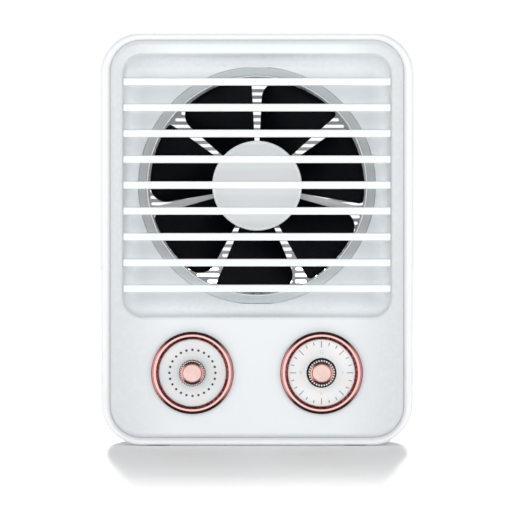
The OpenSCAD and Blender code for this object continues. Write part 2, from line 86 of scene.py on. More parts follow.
WIN_W, WIN_H, WIN_R = 97.6, 95.7, 7.4


# ------------------------------------------------------------------ mesh tools
def V(x, d, z):
    return Vector((x * MM, Y0 + d * MM, z * MM))


def arc(cx, cy, r, a0, a1, n):
    return [(cx + r * math.cos(math.radians(a0 + (a1 - a0) * i / n)),
             cy + r * math.sin(math.radians(a0 + (a1 - a0) * i / n))) for i in range(n + 1)]


def rr_loop(w, h, r, zc, off=0.0, nc=14, xc=0.0):
    pts = []
    for sx, sz, a0 in ((1, 1, 0), (-1, 1, 90), (-1, -1, 180), (1, -1, 270)):
        cx, cz = xc + sx * (w / 2 - r), zc + sz * (h / 2 - r)
        pts += [(cx + (r + off) * math.cos(math.radians(a0 + 90 * i / nc)),
                 cz + (r + off) * math.sin(math.radians(a0 + 90 * i / nc))) for i in range(nc + 1)]
    return pts


def bridge(bm, a, b):
    n = len(a)
    for j in range(n):
        k = (j + 1) % n
        vs = []
        for v in (a[j], a[k], b[k], b[j]):
            if v not in vs:
                vs.append(v)
        if len(vs) > 2 and bm.faces.get(vs) is None:
            bm.faces.new(vs)


def sweep(bm, w, h, r, zc, prof, close=False, nc=14):
    rings = [[bm.verts.new(V(x, d, z)) for x, z in rr_loop(w, h, r, zc, o, nc)] for o, d in prof]
    for i in range(len(rings) - 1):
        bridge(bm, rings[i], rings[i + 1])
    if close:
        bridge(bm, rings[-1], rings[0])
    return rings


def turn(bm, cx, cz, prof, n=96, close=False, mod=None):
    rings = []
    for i, (r, d) in enumerate(prof):
        if r < 1e-6:
            v = bm.verts.new(V(cx, d, cz))
            rings.append([v] * n)
            continue
        ring = []
        for j in range(n):
            a = 2 * math.pi * j / n
            rr, dd = mod(i, a, r, d) if mod else (r, d)
            ring.append(bm.verts.new(V(cx + rr * math.cos(a), dd, cz + rr * math.sin(a))))
        rings.append(ring)
    for i in range(len(rings) - 1):
        bridge(bm, rings[i], rings[i + 1])
    if close:
        bridge(bm, rings[-1], rings[0])
    return rings


def fill(bm, *loops):
    edges = []
    for lp in loops:
        for j in range(len(lp)):
            a, b = lp[j], lp[(j + 1) % len(lp)]
            e = bm.edges.get((a, b))
            edges.append(e if e else bm.edges.new((a, b)))
    bmesh.ops.triangle_fill(bm, use_beauty=True, use_dissolve=False, edges=edges)


def prism(bm, pts_a, pts_b):
    """closed solid between two matching loops of points"""
    a = [bm.verts.new(p) for p in pts_a]
    b = [bm.verts.new(p) for p in pts_b]
    bridge(bm, a, b)
    bm.faces.new(a)
    bm.faces.new(b)
    return a, b


def rbox(bm, x0, x1, d0, d1, z0, z1, r=0.2, n=3):
    """box with its long edges along X rounded and its ends softened"""
    def loop(x, ins):
        dc, zc = (d0 + d1) / 2, (z0 + z1) / 2
        hd, hz = (d1 - d0) / 2 - ins, (z1 - z0) / 2 - ins
        q = []
        rr = max(r - ins, 0.02)
        for sd, sz, a0 in ((1, 1, 0), (-1, 1, 90), (-1, -1, 180), (1, -1, 270)):
            for i in range(n + 1):
                a = math.radians(a0 + 90 * i / n)
                q.append(V(x, dc + sd * (hd - rr) + rr * math.cos(a), zc + sz * (hz - rr) + rr * math.sin(a)))
        return [bm.verts.new(p) for p in q]
    s = r * 0.6
    rings = [loop(x0, s), loop(x0 + s * 0.3, s * 0.3), loop(x0 + s, 0), loop(x1 - s, 0), loop(x1 - s * 0.3, s * 0.3), loop(x1, s)]
    for i in range(5):
        bridge(bm, rings[i], rings[i + 1])
    bm.faces.new(rings[0])
    bm.faces.new(rings[-1])


def make(name, bm, mat, body, replaces=(), sharp=38, weighted=True, merge=1e-7):
    bmesh.ops.remove_doubles(bm, verts=bm.verts, dist=merge)
    bmesh.ops.recalc_face_normals(bm, faces=bm.faces)
    lim = math.radians(sharp)
    for f in bm.faces:
        f.smooth = True
    for e in bm.edges:
        e.smooth = not (len(e.link_faces) == 2 and e.calc_face_angle(0) > lim)
    me = bpy.data.meshes.new(name)
    bm.to_mesh(me)
    bm.free()
    ob = bpy.data.objects.new(name, me)
    scene.collection.objects.link(ob)
    ob.data.materials.append(mat)
    if weighted:
        w = ob.modifiers.new("weighted", "WEIGHTED_NORMAL")
        w.mode = "FACE_AREA_WITH_ANGLE"
        w.keep_sharp = True
        w.weight = 60
    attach(ob, body)
    if replaces:
        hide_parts(*replaces)
    return ob


# ------------------------------------------------------------------ materials
class Mat:
    """a small node builder: every surface gets its own grain, tone and gloss variation"""

    def __init__(self, name):
        self.m = bpy.data.materials.new(name)
        self.m.use_nodes = True
        self.t = self.m.node_tree
        self.t.nodes.clear()
        self.out = self.n("ShaderNodeOutputMaterial")
        self.b = self.n("ShaderNodeBsdfPrincipled")
        self.t.links.new(self.b.outputs[0], self.out.inputs[0])
        self.co = self.n("ShaderNodeTexCoord").outputs["Object"]

    def n(self, kind, **kw):
        x = self.t.nodes.new(kind)
        for k, v in kw.items():
            setattr(x, k, v)
        return x

    def link(self, a, b):
        self.t.links.new(a, b)

    def math(self, op, a, b=None, c=None, clamp=False):
        x = self.n("ShaderNodeMath", operation=op, use_clamp=clamp)
        for i, v in enumerate((a, b, c)):
            if v is None:
                continue
            if isinstance(v, (int, float)):
                x.inputs[i].default_value = v
            else:
                self.link(v, x.inputs[i])
        return x.outputs[0]

    def noise(self, scale, detail=3.0, rough=0.5, vec=None, stretch=None):
        v = vec or self.co
        if stretch:
            mp = self.n("ShaderNodeMapping")
            mp.inputs["Scale"].default_value = stretch
            self.link(v, mp.inputs[0])
            v = mp.outputs[0]
        x = self.n("ShaderNodeTexNoise")
        x.inputs["Scale"].default_value = scale
        x.inputs["Detail"].default_value = detail
        x.inputs["Roughness"].default_value = rough
        self.link(v, x.inputs["Vector"])
        return x.outputs[0]

    def ramp(self, f, a, b, lo=0.0, hi=1.0):
        x = self.n("ShaderNodeMapRange")
        x.inputs["From Min"].default_value = a
        x.inputs["From Max"].default_value = b
        x.inputs["To Min"].default_value = lo
        x.inputs["To Max"].default_value = hi
        self.link(f, x.inputs["Value"])
        return x.outputs[0]

    def smooth(self, f, a, b, lo=0.0, hi=1.0):
        x = self.n("ShaderNodeMapRange", interpolation_type="SMOOTHSTEP")
        x.inputs["From Min"].default_value = a
        x.inputs["From Max"].default_value = b
        x.inputs["To Min"].default_value = lo
        x.inputs["To Max"].default_value = hi
        self.link(f, x.inputs["Value"])
        return x.outputs[0]

    def polar(self, cx, cz):
        """distance in mm and angle about the axis through (cx, cz)"""
        sep = self.n("ShaderNodeSeparateXYZ")
        self.link(self.co, sep.inputs[0])
        dx = self.math("SUBTRACT", sep.outputs[0], cx * MM)
        dz = self.math("SUBTRACT", sep.outputs[2], cz * MM)
        r = self.math("SQRT", self.math("ADD", self.math("MULTIPLY", dx, dx), self.math("MULTIPLY", dz, dz)))
        return self.math("MULTIPLY", r, 1000.0), self.math("ARCTAN2", dz, dx)

    def rim(self, w, h, r, zc):
        """distance in mm outwards from a rounded rectangle in the front plane"""
        sep = self.n("ShaderNodeSeparateXYZ")
        self.link(self.co, sep.inputs[0])
        qx = self.math("MAXIMUM", self.math("SUBTRACT", self.math("ABSOLUTE", sep.outputs[0]), (w / 2 - r) * MM), 0.0)
        qz = self.math("MAXIMUM", self.math("SUBTRACT", self.math("ABSOLUTE", self.math("SUBTRACT", sep.outputs[2], zc * MM)), (h / 2 - r) * MM), 0.0)
        q = self.math("SQRT", self.math("ADD", self.math("MULTIPLY", qx, qx), self.math("MULTIPLY", qz, qz)))
        return self.math("MULTIPLY_ADD", q, 1000.0, -r)

    def mix(self, f, a, b):
        x = self.n("ShaderNodeMix", data_type="RGBA")
        if isinstance(f, (int, float)):
            x.inputs[0].default_value = f
        else:
            self.link(f, x.inputs[0])
        for i, v in ((6, a), (7, b)):
            if isinstance(v, tuple):
                x.inputs[i].default_value = (*v[:3], 1)
            else:
                self.link(v, x.inputs[i])
        return x.outputs[2]

    def edges(self, radius=0.3, lo=0.01, hi=0.25):
        """1 on convex and concave edges, 0 on flats"""
        bev = self.n("ShaderNodeBevel", samples=4)
        bev.inputs[0].default_value = radius * MM
        geo = self.n("ShaderNodeNewGeometry")
        d = self.n("ShaderNodeVectorMath", operation="DOT_PRODUCT")
        self.link(bev.outputs[0], d.inputs[0])
        self.link(geo.outputs["Normal"], d.inputs[1])
        return self.ramp(self.math("SUBTRACT", 1.0, d.outputs["Value"]), lo, hi)

    def bump(self, h, strength=0.2, dist=0.00005, prev=None):
        x = self.n("ShaderNodeBump")
        x.inputs["Strength"].default_value = strength
        x.inputs["Distance"].default_value = dist
        self.link(h, x.inputs["Height"])
        if prev:
            self.link(prev, x.inputs["Normal"])
        return x.outputs[0]

    def set(self, **kw):
        for k, v in kw.items():
            self.b.inputs[k.replace("_", " ")].default_value = v


def tint(c, k):
    return tuple(min(1.0, x * k) for x in c)


def plastic(name, col, rough=0.38, grain=1500, depth=0.00002, strength=0.12, var=0.03, coat=0.0, spec=0.5,
            wear=0.35, wear_col=None, edge_r=0.25, ior=1.46, shade=None, rim=None, low=None, edge=None):
    m = Mat(name)
    broad = m.ramp(m.noise(14, 3), 0.3, 0.7)
    c = m.mix(broad, tint(col, 1 - var), tint(col, 1 + var))
    if shade:                                   # painted shade: slightly deeper tone towards the sides of a panel, where the light falls off
        sep = m.n("ShaderNodeSeparateXYZ")
        m.link(m.co, sep.inputs[0])
        c = m.mix(m.smooth(m.math("ABSOLUTE", sep.outputs[0]), shade[0] * MM, shade[1] * MM), c, tint(col, shade[2]))
    if rim:                                     # painted shade and light by distance from a rounded rectangle: k below 1 gives a deeper tone down in the joint line round the panel, k above 1 a lighter tone on the window's walls
        w, h, r, zc, e0, e1, k = rim
        c = m.mix(m.smooth(m.rim(w, h, r, zc), e0, e1), c, tint(col, k))
    if low:                                     # painted light: lighter tone towards the bottom
        sep = m.n("ShaderNodeSeparateXYZ")
        m.link(m.co, sep.inputs[0])
        c = m.mix(m.smooth(sep.outputs[2], low[0] * MM, low[1] * MM), c, tint(col, low[2]))
    if edge:                                    # painted highlight: lighter tone on the outer corner of a disc round the fan's axis
        r, a = m.polar(0, FZ)
        c = m.mix(m.smooth(r, edge[0], edge[1]), c, tint(col, edge[2]))
    fine = m.noise(grain, 2, 0.6)
    speck = m.ramp(m.noise(grain * 0.4, 2), 0.45, 0.75)
    c = m.mix(m.math("MULTIPLY", speck, 0.25), c, tint(col, 1 - 1.6 * var))
    if wear:
        e = m.math("MULTIPLY", m.math("MULTIPLY", m.edges(edge_r), m.ramp(m.noise(160, 4), 0.35, 0.75)), wear)
        c = m.mix(e, c, wear_col or tint(col, 1.04))
    m.link(c, m.b.inputs["Base Color"])
    r = m.math("ADD", m.ramp(m.noise(16, 1), 0.2, 0.8, rough * 0.95, rough * 1.05), m.ramp(fine, 0.3, 0.7, -0.02, 0.02))
    m.link(r, m.b.inputs["Roughness"])
    m.link(m.bump(fine, strength, depth), m.b.inputs["Normal"])
    m.set(IOR=ior, Specular_IOR_Level=spec)
    if coat:
        m.set(Coat_Weight=coat, Coat_Roughness=0.08)
    return m.m


def metal(name, col, rough=0.25, dark=None, stretch=None, grain=900, strength=0.15, depth=0.00001, wear=0.4, var=0.05):
    m = Mat(name)
    c = m.mix(m.ramp(m.noise(60, 4), 0.3, 0.7), tint(col, 1 - var), tint(col, 1 + var))
    fine = m.noise(grain, 3, 0.6, stretch=stretch)
    c = m.mix(m.math("MULTIPLY", m.ramp(fine, 0.4, 0.8), 0.3), c, dark or tint(col, 0.82))
    e = m.math("MULTIPLY", m.edges(0.2), wear)
    c = m.mix(m.math("MULTIPLY", e, m.ramp(m.noise(300, 3), 0.4, 0.7)), c, tint(col, 1.15))
    m.link(c, m.b.inputs["Base Color"])
    m.link(m.ramp(m.noise(grain * 0.5, 3, stretch=stretch), 0.25, 0.75, rough * 0.75, rough * 1.25), m.b.inputs["Roughness"])
    m.link(m.bump(fine, strength, depth), m.b.inputs["Normal"])
    m.set(Metallic=1.0)
    return m.m


def dial_metal(name, cx, cz, col, ray_a, ray_k=0.06, warm=(0.86, 0.82, 0.80), cool=(0.76, 0.82, 0.86)):
    """spun silver: fine rings round the dial's centre, with painted reflection as soft light and dark fans, radial
    streaks and a pearly cast
    """
    m = Mat(name)
    r, a = m.polar(cx, cz)
    comb = m.n("ShaderNodeCombineXYZ")
    m.link(m.math("MULTIPLY", r, 9.0), comb.inputs[0])
    m.link(m.math("MULTIPLY", a, 0.6), comb.inputs[1])
    rings = m.noise(1.0, 3, 0.6, vec=comb.outputs[0])
    # painted reflection: light and dark fans by angle round the centre
    fan = m.math("MULTIPLY", m.math("ADD", m.math("COSINE", m.math("MULTIPLY_ADD", a, 2.0, ray_a)), 1.0), 0.5)
    fan2 = m.math("MULTIPLY", m.math("ADD", m.math("COSINE", m.math("MULTIPLY_ADD", a, 5.0, ray_a * 2)), 1.0), 0.5)
    cfan = m.n("ShaderNodeCombineXYZ")
    m.link(m.math("MULTIPLY", m.math("COSINE", a), 7.0), cfan.inputs[0])
    m.link(m.math("MULTIPLY", m.math("SINE", a), 7.0), cfan.inputs[1])
    # painted reflection: streaks that fan out from the centre
    streak = m.noise(1.0, 3, 0.6, vec=cfan.outputs[0])
    base = m.mix(m.ramp(streak, 0.35, 0.65), tint(col, 0.985), col)
    # pearly cast of painted reflection: warm and cool tints that follow the fans
    base = m.mix(m.math("MULTIPLY", fan2, 0.35), base, warm)
    base = m.mix(m.math("MULTIPLY", m.math("SUBTRACT", 1.0, fan2), 0.35), base, cool)
    # painted reflection darkens the dial along the fans and streaks
    tone = m.math("ADD", m.math("MULTIPLY", fan, ray_k), m.math("MULTIPLY", streak, ray_k * 0.5))
    c = m.mix(tone, base, tint(col, 0.5))
    c = m.mix(m.ramp(rings, 0.35, 0.75, 0.0, 0.08), c, tint(col, 0.78))
    m.link(c, m.b.inputs["Base Color"])
    m.link(m.ramp(rings, 0.3, 0.7, 0.36, 0.5), m.b.inputs["Roughness"])
    m.link(m.bump(rings, 0.12, 0.00001), m.b.inputs["Normal"])
    m.set(Metallic=0.25)
    return m.m


# rose-gold tones for the dial rings: the crest colour is the plating, the slope and groove colours are darker copies of
# it as painted shade
CREST, SLOPE, GROOVE_SHADE = (0.96, 0.63, 0.575), (0.64, 0.215, 0.215), (0.15, 0.010, 0.022)


def rose_plate(name, cx, cz, rough=0.13):
    """rose-gold plating of a dial ring, with painted light and shade by radius: bright crest, deeper outer slope and
    dark outer edge as painted shade, dark serrated groove inside as painted shade with pink painted glints
    """
    m = Mat(name)
    r, a = m.polar(cx, cz)
    # painted shade: the outer slope, a thin line on it and the outer edge darker than the crest
    c = m.mix(m.math("MULTIPLY", m.smooth(r, 13.95, 14.2), 0.85), CREST, SLOPE)
    c = m.mix(m.math("MULTIPLY", m.smooth(r, 14.18, 14.26), m.math("MULTIPLY", m.smooth(r, 14.48, 14.38), 0.55)), c, (0.36, 0.085, 0.10))
    c = m.mix(m.smooth(r, 14.60, 14.82), c, (0.16, 0.03, 0.04))
    # painted shade down in the serrated groove, with pink painted glints scattered round it
    groove = m.math("MULTIPLY", m.smooth(r, 12.14, 12.24), m.smooth(r, 13.34, 13.2))
    comb = m.n("ShaderNodeCombineXYZ")
    m.link(m.math("MULTIPLY", m.math("COSINE", a), 16.0), comb.inputs[0])
    m.link(m.math("MULTIPLY", m.math("SINE", a), 16.0), comb.inputs[1])
    m.link(m.math("MULTIPLY", r, 2.2), comb.inputs[2])
    speck = m.ramp(m.noise(1.0, 2, 0.6, vec=comb.outputs[0]), 0.52, 0.60)
    groove_shade_and_glints = m.mix(m.math("MULTIPLY", speck, 0.55), GROOVE_SHADE, (0.80, 0.30, 0.30))
    c = m.mix(groove, c, groove_shade_and_glints)
    c = m.mix(m.math("MULTIPLY", m.ramp(m.noise(500, 3), 0.4, 0.7), 0.12), c, tint(CREST, 0.75))
    m.link(c, m.b.inputs["Base Color"])
    m.link(m.ramp(m.noise(700, 3), 0.3, 0.7, rough * 0.7, rough * 1.4), m.b.inputs["Roughness"])
    m.link(m.bump(m.noise(1400, 2), 0.05, 0.00001), m.b.inputs["Normal"])
    m.set(Metallic=1.0)
    return m.m


def rose_ring(name, cx, cz, rough=0.14):
    """polished ring round a knob's cap, with painted shade as dark bands at its inner and outer edges"""
    m = Mat(name)
    r, a = m.polar(cx, cz)
    # painted shade: dark next to the cap and at the ring's outer edge
    c = m.mix(m.smooth(r, 3.45, 3.62), (0.24, 0.06, 0.05), (0.88, 0.42, 0.38))
    c = m.mix(m.smooth(r, 4.08, 4.18), c, (0.30, 0.09, 0.08))
    c = m.mix(m.math("MULTIPLY", m.ramp(m.noise(500, 3), 0.4, 0.7), 0.2), c, (0.40, 0.15, 0.13))
    m.link(c, m.b.inputs["Base Color"])
    m.link(m.ramp(m.noise(700, 3), 0.3, 0.7, rough * 0.7, rough * 1.4), m.b.inputs["Roughness"])
    m.link(m.bump(m.noise(1400, 2), 0.05, 0.00001), m.b.inputs["Normal"])
    m.set(Metallic=1.0)
    return m.m


def knurl(name, cx, cz, tooth, groove, teeth, black_from=None, gap=(0.34, 0.52)):
    """knurled skirt: bright tooth tips with dark grooves between them; the dark colour between the teeth, inside them
    and round their tips is painted shade
    """
    m = Mat(name)
    r, a = m.polar(cx, cz)
    wave = m.math("ABSOLUTE", m.math("SINE", m.math("MULTIPLY", a, teeth / 2)))
    # painted shade: groove colour between the teeth
    c = m.mix(m.smooth(wave, gap[0], gap[1]), groove, tooth)
    if black_from:
        c = m.mix(m.smooth(r, black_from, black_from + 0.12), c, groove)
    # painted shade: groove colour inside the teeth, and round their outer tips where no black_from is given
    c = m.mix(m.smooth(r, 4.28, 4.18), c, groove)
    if not black_from:
        c = m.mix(m.smooth(r, 4.44, 4.56), c, groove)
    c = m.mix(m.math("MULTIPLY", m.ramp(m.noise(600, 3), 0.4, 0.7), 0.2), c, tint(tooth, 0.7))
    m.link(c, m.b.inputs["Base Color"])
    m.link(m.ramp(m.noise(900, 3), 0.3, 0.7, 0.22, 0.34), m.b.inputs["Roughness"])
    m.link(m.bump(m.noise(1400, 2), 0.06, 0.00001), m.b.inputs["Normal"])
    m.set(Metallic=0.35)
    return m.m


# painted shade: the case is darker on its chamfer down into the joint line round the panel
M_CASE = plastic("case_white", (0.80, 0.82, 0.83), 0.30, coat=0.12, var=0.012, strength=0.06, rim=(PAN_W + 0.3, PAN_H + 0.3, PAN_R + 0.15, CZ, 1.25, -0.1, 0.90))
# painted shade: the panel is darker towards its left and right sides and round its edge in the joint line
M_PANEL = plastic("panel_satin", (0.77, 0.80, 0.82), 0.42, var=0.012, strength=0.10, shade=(26, 54, 0.80), rim=(PAN_W, PAN_H, PAN_R, CZ, -2.1, 0.0, 0.84))
# painted light: the window's walls and floor are lighter near the window's edge, against the shade down in the recess
M_RECESS = plastic("recess_satin", (0.70, 0.725, 0.74), 0.46, var=0.015, strength=0.10, rim=(WIN_W, WIN_H, WIN_R, FZ, -11.0, -0.5, 1.24))
M_LOUVRE = plastic("louvre_white", (0.82, 0.85, 0.865), 0.33, coat=0.10, var=0.010, strength=0.05)
# painted shade: the ring is darker at its left and right; painted light: it is lighter towards its bottom
M_RING = plastic("ring_grey", (0.56, 0.595, 0.61), 0.42, var=0.03, shade=(20, 42, 0.82), low=(FZ - 22, FZ - 41, 1.22))
M_FRAME = plastic("fan_frame_white", (0.78, 0.80, 0.81), 0.45, var=0.02)
M_BLADE = plastic("blade_black", (0.0035, 0.004, 0.0055), 0.34, var=0.10, coat=0.0, strength=0.05, wear_col=(0.012, 0.012, 0.014), spec=0.22, ior=1.3)
# painted highlight: a lighter band on the hub's outer corner
M_HUB = plastic("hub_white", (0.80, 0.82, 0.83), 0.40, var=0.012, strength=0.08, edge=(HUB_R - 1.1, HUB_R - 0.4, 1.18))
M_COVER = plastic("cover_white", (0.84, 0.865, 0.875), 0.46, var=0.015, strength=0.14, grain=1100)
M_COLLAR = plastic("collar_black", (0.006, 0.006, 0.007), 0.3, var=0.10, wear_col=(0.03, 0.03, 0.03), spec=0.2, ior=1.3)
M_MARK = plastic("mark_grey", (0.045, 0.05, 0.058), 0.5, var=0.12, wear_col=(0.2, 0.2, 0.2))
M_TICK = plastic("tick_grey", (0.22, 0.25, 0.24), 0.5, var=0.10)
M_NUM = plastic("numeral_grey", (0.60, 0.62, 0.62), 0.5, var=0.08, wear=0)
M_ENC = plastic("encoder_grey", (0.14, 0.15, 0.16), 0.5, var=0.08)
M_PLUNGER = plastic("plunger_yellow", (0.62, 0.50, 0.12), 0.5, var=0.06)
M_NYLON = plastic("connector_nylon", (0.78, 0.75, 0.64), 0.5, var=0.05)
M_CHIP = plastic("chip_black", (0.015, 0.015, 0.016), 0.5, var=0.15, wear_col=(0.06, 0.06, 0.06))
M_CRADLE = plastic("cradle_grey", (0.45, 0.47, 0.49), 0.5, var=0.05)
M_RUBBER = plastic("rubber_pad", (0.055, 0.056, 0.06), 0.75, grain=700, depth=0.00005, strength=0.4, var=0.12, wear_col=(0.12, 0.12, 0.12))
M_RED = plastic("wire_red", (0.42, 0.02, 0.015), 0.42, var=0.08)
M_BLACK = plastic("wire_black", (0.02, 0.02, 0.02), 0.42, var=0.12)
M_YELLOW = plastic("wire_yellow", (0.55, 0.42, 0.03), 0.42, var=0.08)
M_MAGNET = plastic("magnet_ferrite", (0.05, 0.05, 0.055), 0.6, grain=900, var=0.15)
M_CELL = plastic("cell_sleeve", (0.03, 0.16, 0.36), 0.28, var=0.06, coat=0.3)
M_STEEL = metal("steel_ground", (0.56, 0.56, 0.57), 0.28, stretch=(1, 12, 1))
M_SCREW = metal("screw_zinc", (0.50, 0.50, 0.51), 0.34)
M_CORE = metal("core_laminated", (0.32, 0.33, 0.35), 0.42, stretch=(1, 30, 1), strength=0.5, depth=0.00004)
M_COPPER = metal("copper_wire", (0.70, 0.30, 0.12), 0.32, stretch=(20, 1, 20), strength=0.6, depth=0.00006)
M_BRASS = metal("brass_turned", (0.72, 0.55, 0.25), 0.25, stretch=(1, 20, 1))
M_USB = metal("usb_shell", (0.62, 0.63, 0.65), 0.26, stretch=(8, 1, 8))
# dial rings with painted light and shade by radius, knob rings with painted shade at their edges
M_BEZEL_L = rose_plate("rose_plate_left", -DX, DZ)
M_BEZEL_R = rose_plate("rose_plate_right", DX, DZ)
M_ROSE_L = rose_ring("rose_ring_left", -DX, DZ)
M_ROSE_R = rose_ring("rose_ring_right", DX, DZ)
M_CAP = metal("cap_rose_satin", (0.97, 0.70, 0.645), 0.42, dark=(0.86, 0.60, 0.55), var=0.03, strength=0.06)
KN = 30
# knurls with painted shade between and round the teeth
M_KNURL_L = knurl("knurl_silver", -DX, DZ, (0.93, 0.82, 0.78), (0.05, 0.015, 0.014), KN)
M_KNURL_R = knurl("knurl_black_silver", DX, DZ, (0.95, 0.93, 0.90), (0.008, 0.007, 0.007), KN, 4.72, (0.55, 0.78))
# spun dials with painted reflection; the fifth argument turns the fans, the sixth sets how deep they go
M_DIAL_L = dial_metal("dial_spun_left", -DX, DZ, (0.855, 0.87, 0.87), 0.0, 0.10)
M_DIAL_R = dial_metal("dial_spun_right", DX, DZ, (0.99, 0.985, 0.975), 0.9, 0.10)


def board_mat():
    """solder mask with pale printed tracks on a millimetre grid"""
    m = Mat("board_green")
    br = m.n("ShaderNodeTexBrick")
    br.inputs["Scale"].default_value = 90.0
    br.inputs["Mortar Size"].default_value = 0.035
    br.offset = 0.37
    mp = m.n("ShaderNodeMapping")
    mp.inputs["Rotation"].default_value = (math.pi / 2, 0, 0)
    m.link(m.co, mp.inputs[0])
    m.link(mp.outputs[0], br.inputs["Vector"])
    vo = m.n("ShaderNodeTexVoronoi")
    vo.inputs["Scale"].default_value = 420.0
    m.link(m.co, vo.inputs["Vector"])
    via = m.ramp(vo.outputs["Distance"], 0.16, 0.13)
    c = m.mix(m.ramp(m.noise(40, 3), 0.3, 0.7), (0.012, 0.11, 0.05), (0.02, 0.15, 0.07))
    c = m.mix(m.math("MULTIPLY", br.outputs["Fac"], 0.6), c, (0.05, 0.26, 0.12))
    c = m.mix(m.math("MULTIPLY", via, 0.8), c, (0.55, 0.52, 0.42))
    m.link(c, m.b.inputs["Base Color"])
    m.link(m.ramp(m.noise(200, 3), 0.3, 0.7, 0.25, 0.4), m.b.inputs["Roughness"])
    m.link(m.bump(br.outputs["Fac"], 0.3, 0.00003), m.b.inputs["Normal"])
    return m.m


M_BOARD = board_mat()

# CAD nodes that stay as they are and only take a finish
for name, mat in {
    "fan_duct": M_FRAME, "motor_mount": M_FRAME, "fan_screws": M_SCREW, "motor_shaft": M_STEEL, "rotor_yoke": M_STEEL, "rotor_magnet": M_MAGNET,
    "stator_core": M_CORE, "stator_coils": M_COPPER, "motor_board": M_BOARD, "bearing_tube": M_BRASS,
    "front_bearing": M_STEEL, "rear_bearing": M_STEEL, "shaft_clip": M_STEEL, "speed_dial": M_DIAL_L, "timer_dial": M_DIAL_R,
    "speed_encoder": M_ENC, "timer_encoder": M_ENC, "speed_plunger": M_PLUNGER, "timer_plunger": M_PLUNGER,
    "speed_shaft": M_STEEL, "timer_shaft": M_STEEL, "control_board": M_BOARD, "board_screws": M_SCREW,
    "motor_connector": M_NYLON, "battery_connector": M_NYLON, "driver_chip": M_CHIP, "battery_cell": M_CELL,
    "battery_cradle": M_CRADLE, "charge_board": M_BOARD, "charge_board_screws": M_SCREW, "usb_socket": M_USB,
    "case_screws": M_SCREW, "foot_pads": M_RUBBER, "motor_lead": M_RED, "battery_lead": M_BLACK, "charge_lead": M_YELLOW,
    "outer_shell": M_CASE, "front_panel": M_PANEL, "louvre_grille": M_LOUVRE, "recess_walls": M_RECESS, "fan_plate": M_RECESS, "inlet_ring": M_RING,
    "impeller": M_BLADE, "hub_cap": M_HUB, "speed_bezel": M_BEZEL_L, "timer_bezel": M_BEZEL_R, "timer_collar": M_COLLAR,
    "speed_knob": M_KNURL_L, "timer_knob": M_KNURL_R, "speed_knob_ring": M_ROSE_L, "timer_knob_ring": M_ROSE_R,
    "speed_cap": M_CAP, "timer_cap": M_CAP, "rear_cover": M_COVER,
}.items():
    me = nodes_of[name].data
    if not me.materials:
        me.materials.append(mat)
    for i in range(len(me.materials)):
        me.materials[i] = mat

# ------------------------------------------------------------------ case sleeve
bm = bmesh.new()
NC = 20
out = sweep(bm, BODY_W, BODY_H, CORNER, CZ,
            arc(-1.5, 1.5, 1.5, -90, 0, 12) + [(0, BODY_D - 3.7), (0, BODY_D - 3.65), (-0.22, BODY_D - 3.5), (-0.22, BODY_D - 3.2), (0, BODY_D - 3.05), (0, BODY_D - 3.0)]
            + arc(-1.2, BODY_D - 1.2, 1.2, 0, 90, 10), nc=NC)
inn = sweep(bm, IN_W, IN_H, IN_R, CZ,
            [(1.08, 0.0), (0.98, 0.02), (0.86, 0.08), (0.6, 0.3), (0.28, 0.6), (0.1, 0.78), (0.02, 0.92), (0, 1.1),
             (0, 2.9), (-1.2, 3.1), (-1.2, 4.9), (0, 5.6), (0, BODY_D - 5.6), (-1.2, BODY_D - 4.7), (-1.2, BODY_D - 2.95), (0, BODY_D - 2.9),
             (0, BODY_D - 0.45), (0.08, BODY_D - 0.15), (0.3, BODY_D)], nc=NC)
bridge(bm, out[0], inn[0])
bridge(bm, out[-1], inn[-1])
make("case_sleeve", bm, M_CASE, "case", ["outer_shell"])

# ------------------------------------------------------------------ front panel
bm = bmesh.new()
outer = sweep(bm, PAN_W, PAN_H, PAN_R, CZ, [(-1.95, 0.6), (-1.7, 0.61), (-1.45, 0.65), (-1.1, 0.8), (-0.6, 1.08), (-0.15, 1.33), (0.02, 1.42), (0.1, 1.5), (0.1, 1.8), (0, 1.95), (0, 3.0)], nc=20)
inner = sweep(bm, WIN_W, WIN_H, WIN_R, FZ, arc(1.2, 1.8, 1.2, -90, -180, 12) + [(0, 3.0)], nc=16)
pockets = [turn(bm, x, DZ, [(14.0, 0.6), (14.0, 1.6), (3.6, 1.6), (3.6, 3.0)], n=96) for x in (-DX, DX)]
fill(bm, outer[0], inner[0], pockets[0][0], pockets[1][0])
fill(bm, outer[-1], inner[-1], pockets[0][-1], pockets[1][-1])
for x, z, b, r, h in [(-46, 10.5, 30, 3.1, 1.25), (46, 10.5, 30, 3.1, 1.25)] + [(x, z, 9.5, 2.6, 0.9) for x in (-38.5, 38.5) for z in (12.5, 38.5)]:
    turn(bm, x, z, [(r, 3.0), (r, b - 0.3), (r - 0.3, b), (h + 0.1, b), (h, b - 0.1), (h, 3.2), (0, 3.2)], n=32)
make("front_panel_skin", bm, M_PANEL, "case", ["front_panel"])

